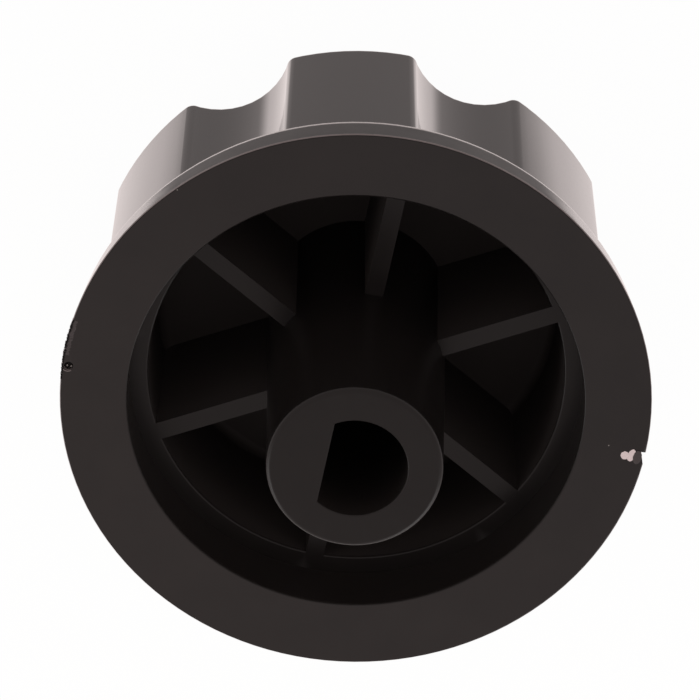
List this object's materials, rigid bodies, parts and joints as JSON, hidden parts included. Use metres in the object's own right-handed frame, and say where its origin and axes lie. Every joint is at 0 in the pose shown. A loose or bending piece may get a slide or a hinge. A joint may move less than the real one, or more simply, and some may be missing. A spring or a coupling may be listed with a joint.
{
  "type": "timer knob",
  "caption": "Round plastic timer knob with a lobed grip, a wide flange, a ribbed hollow underside and a long central boss with a D-shaped shaft socket.",
  "frame": {"origin": "centre of the front face, which the knob stands on", "axes": "+Z along the shaft axis, from the front face towards the panel; +X towards the shaft's flat"},
  "size_m": [0.035, 0.035, 0.0241],
  "materials": {
    "knob": "satin black, as moulded"
  },
  "bodies": {
    "root": {"knob": "knob"}
  },
  "joints": []
}
